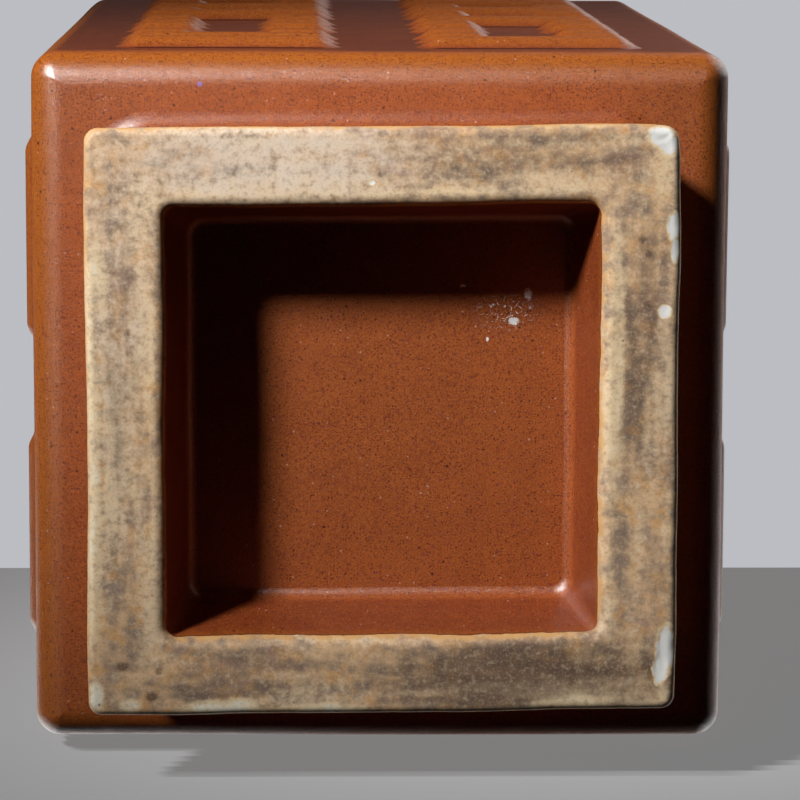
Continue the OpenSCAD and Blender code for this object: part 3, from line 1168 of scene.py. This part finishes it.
def makeTable():
    bm = bmesh.new()
    depth = stage["slatDepth"]
    bmesh.ops.create_grid(bm, x_segments=1, y_segments=1, size=0.5)
    bmesh.ops.scale(bm, verts=bm.verts[:], vec=(2 * stage["tableHalf"], depth, 1))
    bmesh.ops.reverse_faces(bm, faces=bm.faces[:])  # towards the foot
    place = (0, cadBox[1].y + depth / 2, stage["tableStart"])
    bmesh.ops.translate(bm, verts=bm.verts[:], vec=place)
    bmesh.ops.spin(bm, geom=bm.verts[:] + bm.edges[:] + bm.faces[:], angle=0, steps=stage["slats"],
                   dvec=(0, 0, stage["slatPitch"]), use_duplicate=True)
    stagePiece(bm, "paleTable", stage["table"], stage["tableGlow"])


makeFloor()
makeTable()


# Light: a key from below the rim, on the side of the camera, and soft lamps about the standing vase
key = {
    "travel": (1.06, 1.04, 1.0),
    "aim": (-36 * mm, -90 * mm, 0.0),
    "distance": 0.9,
    "radius": 0.079,
    "cone": 20.0,
    "blend": 1.0,
    "power": 60,
}
lamps = (  # name, the way to the lamp, power
    ("lampFront", (0.60, -0.42, 0.68), 14),
    ("lampRight", (0.52, 0.52, 0.68), 9),
    ("lampBack", (-0.42, 0.60, 0.68), 13),
)
lampShape = {"distance": 1.7, "size": 1.2, "aim": (0, 0, 0.13)}
ambient = {"below": 0.002, "above": 0.045, "span": (0.72, 1.0), "tint": (0.90, 0.95, 1.0)}


def makeWorld():
    world = bpy.data.worlds.new("studio")
    bpy.context.scene.world = world
    world.use_nodes = True
    tree = world.node_tree
    out = next(n for n in tree.nodes if n.type == "OUTPUT_WORLD")
    tree.nodes.remove(next(n for n in tree.nodes if n.type == "BACKGROUND"))
    parts = put(tree, "ShaderNodeSeparateXYZ")
    tree.links.new(put(tree, "ShaderNodeTexCoord").outputs["Generated"], parts.inputs[0])
    soft = put(tree, "ShaderNodeBackground")
    soft.inputs["Color"].default_value = (*ambient["tint"], 1)
    strength = remap(tree, parts.outputs[2], *ambient["span"], ambient["below"], ambient["above"])
    feed(tree, soft, "Strength", strength)
    back = put(tree, "ShaderNodeBackground")
    back.inputs["Color"].default_value = (*stage["backdrop"], 1)
    mixed = put(tree, "ShaderNodeMixShader")
    feed(tree, mixed, 0, put(tree, "ShaderNodeLightPath").outputs["Is Camera Ray"])
    tree.links.new(soft.outputs[0], mixed.inputs[1])
    tree.links.new(back.outputs[0], mixed.inputs[2])
    tree.links.new(mixed.outputs[0], out.inputs["Surface"])


def placeLamp(data, towards, aim, distance):
    lamp = bpy.data.objects.new(data.name, data)
    travel = Vector(towards).normalized()
    lamp.location = Vector(aim) - travel * distance
    lamp.rotation_euler = travel.to_track_quat("-Z", "Y").to_euler()
    bpy.context.scene.collection.objects.link(lamp)


def makeKey():
    data = bpy.data.lights.new("key", "SPOT")
    data.spot_size = math.radians(key["cone"])
    data.spot_blend = key["blend"]
    data.shadow_soft_size = key["radius"]
    data.energy = key["power"]
    placeLamp(data, key["travel"], key["aim"], key["distance"])


def makeLamp(name, way, power):
    data = bpy.data.lights.new(name, "AREA")
    data.shape = "SQUARE"
    data.size = lampShape["size"]
    data.energy = power
    placeLamp(data, -Vector(way), lampShape["aim"], lampShape["distance"])


makeWorld()
makeKey()
for name, way, power in lamps:
    makeLamp(name, way, power)
bpy.context.scene.view_settings.view_transform = "Standard"
print("stage: floor, table, world and", len(lamps) + 1, "lamps")
